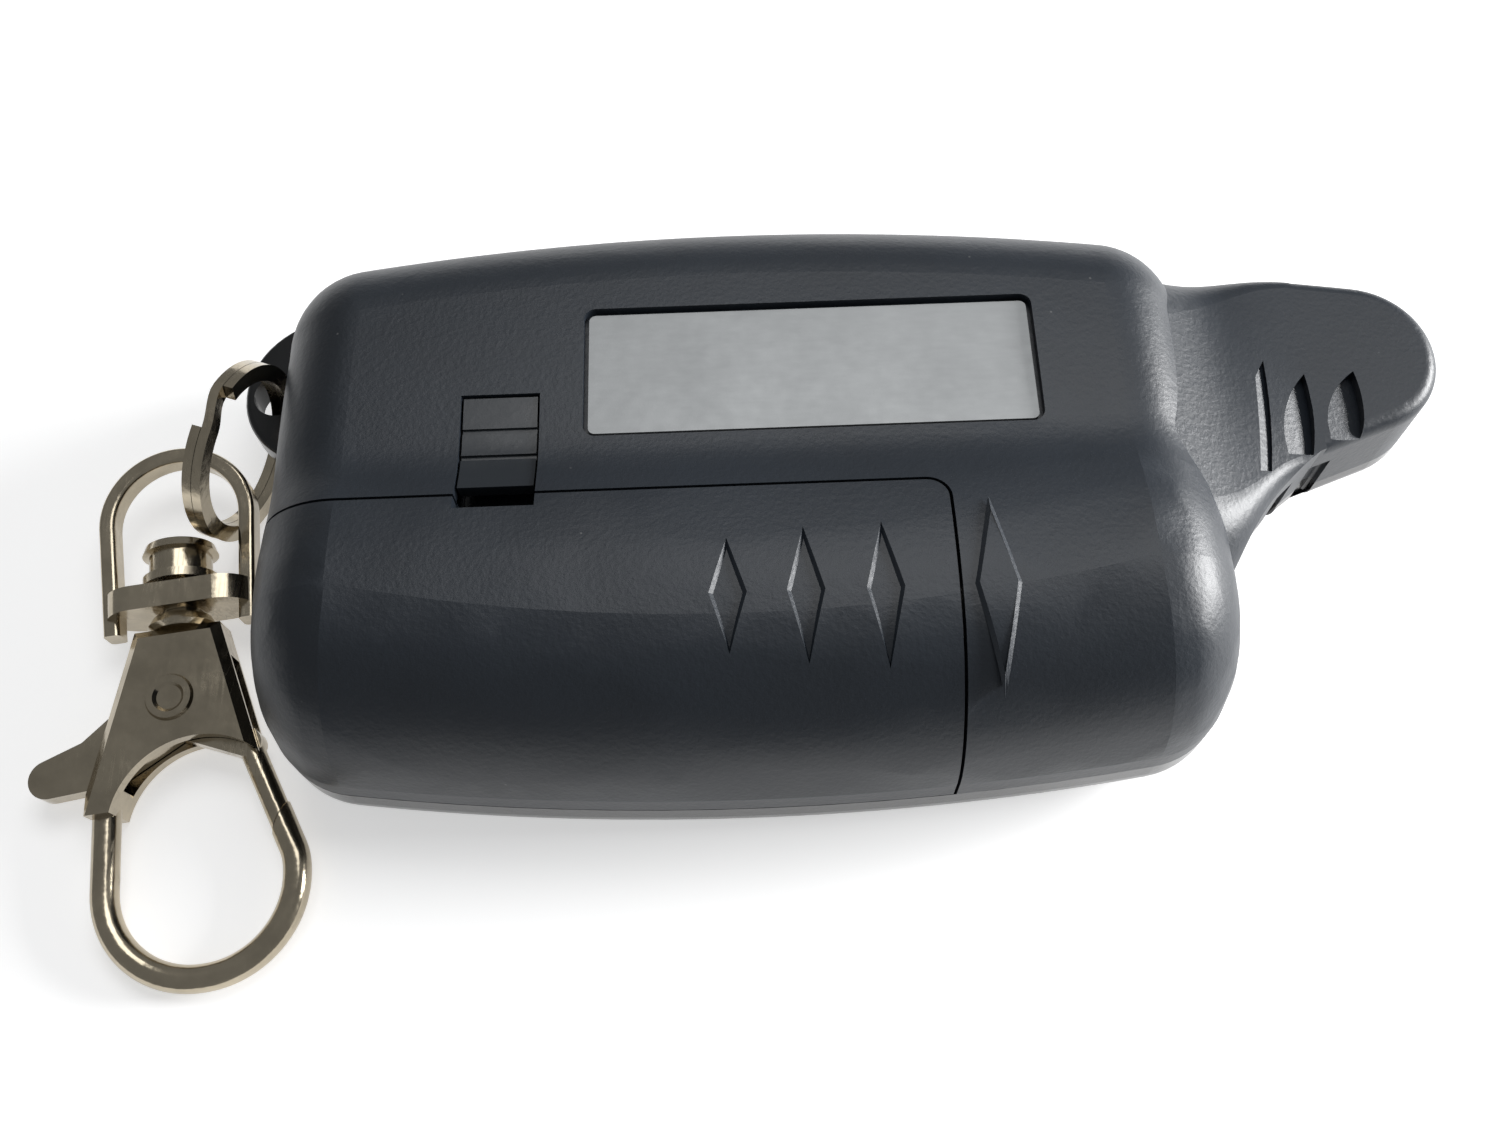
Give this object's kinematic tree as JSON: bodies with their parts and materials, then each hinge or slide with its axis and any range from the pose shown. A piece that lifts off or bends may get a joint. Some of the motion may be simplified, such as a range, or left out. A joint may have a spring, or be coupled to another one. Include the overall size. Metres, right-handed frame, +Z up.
{
  "type": "car alarm lcd remote",
  "caption": "Two-way alarm key fob with a screen, lying on its face: battery cover with latch, aerial stub, push buttons, and a key ring with a swivel clasp.",
  "frame": {"origin": "on the front face that the remote lies on, below the middle of its case", "axes": "+X along the case towards the aerial stub, +Y across the case towards the label side, +Z up from the front face to the back"},
  "size_m": [0.1088, 0.0571, 0.0198],
  "materials": {
    "slate_plastic": "satin",
    "latch_plastic": "satin",
    "black_plastic": "gloss",
    "label_metal": "satin",
    "smoke_window": "gloss",
    "lcd": "gloss",
    "white_plastic": "matte",
    "strip_rubber": "matte",
    "board_green": "satin",
    "chip_black": "matte",
    "tin_metal": "satin",
    "weight_metal": "satin",
    "copper": "satin",
    "button_rubber": "matte",
    "plunger_plastic": "matte",
    "screw_steel": "satin",
    "cell_jacket": "gloss",
    "spring_steel": "gloss",
    "nickel": "gloss"
  },
  "bodies": {
    "case": {"aerial_coil": "copper", "back_shell": "slate_plastic", "battery_cell": "cell_jacket", "battery_spring": "spring_steel", "board_screw_1": "screw_steel", "board_screw_2": "screw_steel", "buzzer": "chip_black", "case_screw_1": "screw_steel", "case_screw_2": "screw_steel", "crystal_can": "tin_metal", "front_shell": "black_plastic", "label_plate": "label_metal", "lcd_diffuser": "white_plastic", "lcd_glass": "lcd", "main_board": "board_green", "main_chip": "chip_black", "memory_chip": "chip_black", "minus_contact": "tin_metal", "plus_contact": "tin_metal", "power_inductor": "chip_black", "radio_chip": "chip_black", "switch_1": "tin_metal", "switch_2": "tin_metal", "switch_3": "tin_metal", "switch_4": "tin_metal", "vibration_motor": "tin_metal", "window_lens": "smoke_window", "zebra_strip": "strip_rubber"},
    "battery_cover": {"battery_cover": "slate_plastic"},
    "latch": {"latch_slider": "latch_plastic"},
    "button_1": {"button_1": "button_rubber", "plunger_1": "plunger_plastic"},
    "button_2": {"button_2": "button_rubber", "plunger_2": "plunger_plastic"},
    "button_3": {"button_3": "button_rubber", "plunger_3": "plunger_plastic"},
    "button_4": {"button_4": "button_rubber", "plunger_4": "plunger_plastic"},
    "key_ring": {"split_ring": "nickel"},
    "bail": {"bail": "nickel"},
    "clasp": {"swivel_post": "nickel", "clasp_body": "nickel", "clasp_rivet": "nickel", "clasp_spring": "spring_steel"},
    "clasp_lever": {"clasp_lever": "nickel"},
    "vibration_weight": {"vibration_weight": "weight_metal"}
  },
  "joints": [
    {"name": "cover_slide", "type": "slide", "parent": "case", "child": "battery_cover", "axis": [-1, 0, 0], "range_m": [0, 0.056]},
    {"name": "latch_slide", "type": "slide", "parent": "case", "child": "latch", "axis": [0, -1, 0], "range_m": [0, 0.0013]},
    {"name": "button_1_press", "type": "slide", "parent": "case", "child": "button_1", "axis": [0, 0, 1], "range_m": [0, 0.00035], "stiffness_N_per_m": 150, "springref_m": -0.003},
    {"name": "button_2_press", "type": "slide", "parent": "case", "child": "button_2", "axis": [0, 0, 1], "range_m": [0, 0.00035], "stiffness_N_per_m": 150, "springref_m": -0.003},
    {"name": "button_3_press", "type": "slide", "parent": "case", "child": "button_3", "axis": [0, 0, 1], "range_m": [0, 0.00035], "stiffness_N_per_m": 150, "springref_m": -0.003},
    {"name": "button_4_press", "type": "slide", "parent": "case", "child": "button_4", "axis": [0, 0, 1], "range_m": [0, 0.00035], "stiffness_N_per_m": 150, "springref_m": -0.003},
    {"name": "ring_swing", "type": "hinge", "parent": "case", "child": "key_ring", "pos_m": [-0.0379, 0.0132, 0.005], "axis": [0, 0, -1], "range_deg": [-3, 95]},
    {"name": "bail_swing", "type": "hinge", "parent": "key_ring", "child": "bail", "pos_m": [-0.03987, 0.00749, 0.00735], "axis": [-0.9455, 0.3256, 0], "range_deg": [0, 50]},
    {"name": "clasp_swivel", "type": "hinge", "parent": "bail", "child": "clasp", "pos_m": [-0.0451, 0, 0.0038], "axis": [-0.1215, 0.9895, 0.0778], "range_deg": [-100, 100]},
    {"name": "gate_open", "type": "hinge", "parent": "clasp", "child": "clasp_lever", "pos_m": [-0.04411, -0.01213, 0.00285], "axis": [-0.0095, 0.0772, -0.997], "range_deg": [0, 25], "stiffness_Nm_per_rad": 0.01, "springref_deg": -22.92},
    {"name": "motor_spin", "type": "hinge", "parent": "case", "child": "vibration_weight", "pos_m": [0.0015, 0.0138, 0.0083], "axis": [1, 0, 0], "continuous": true}
  ]
}
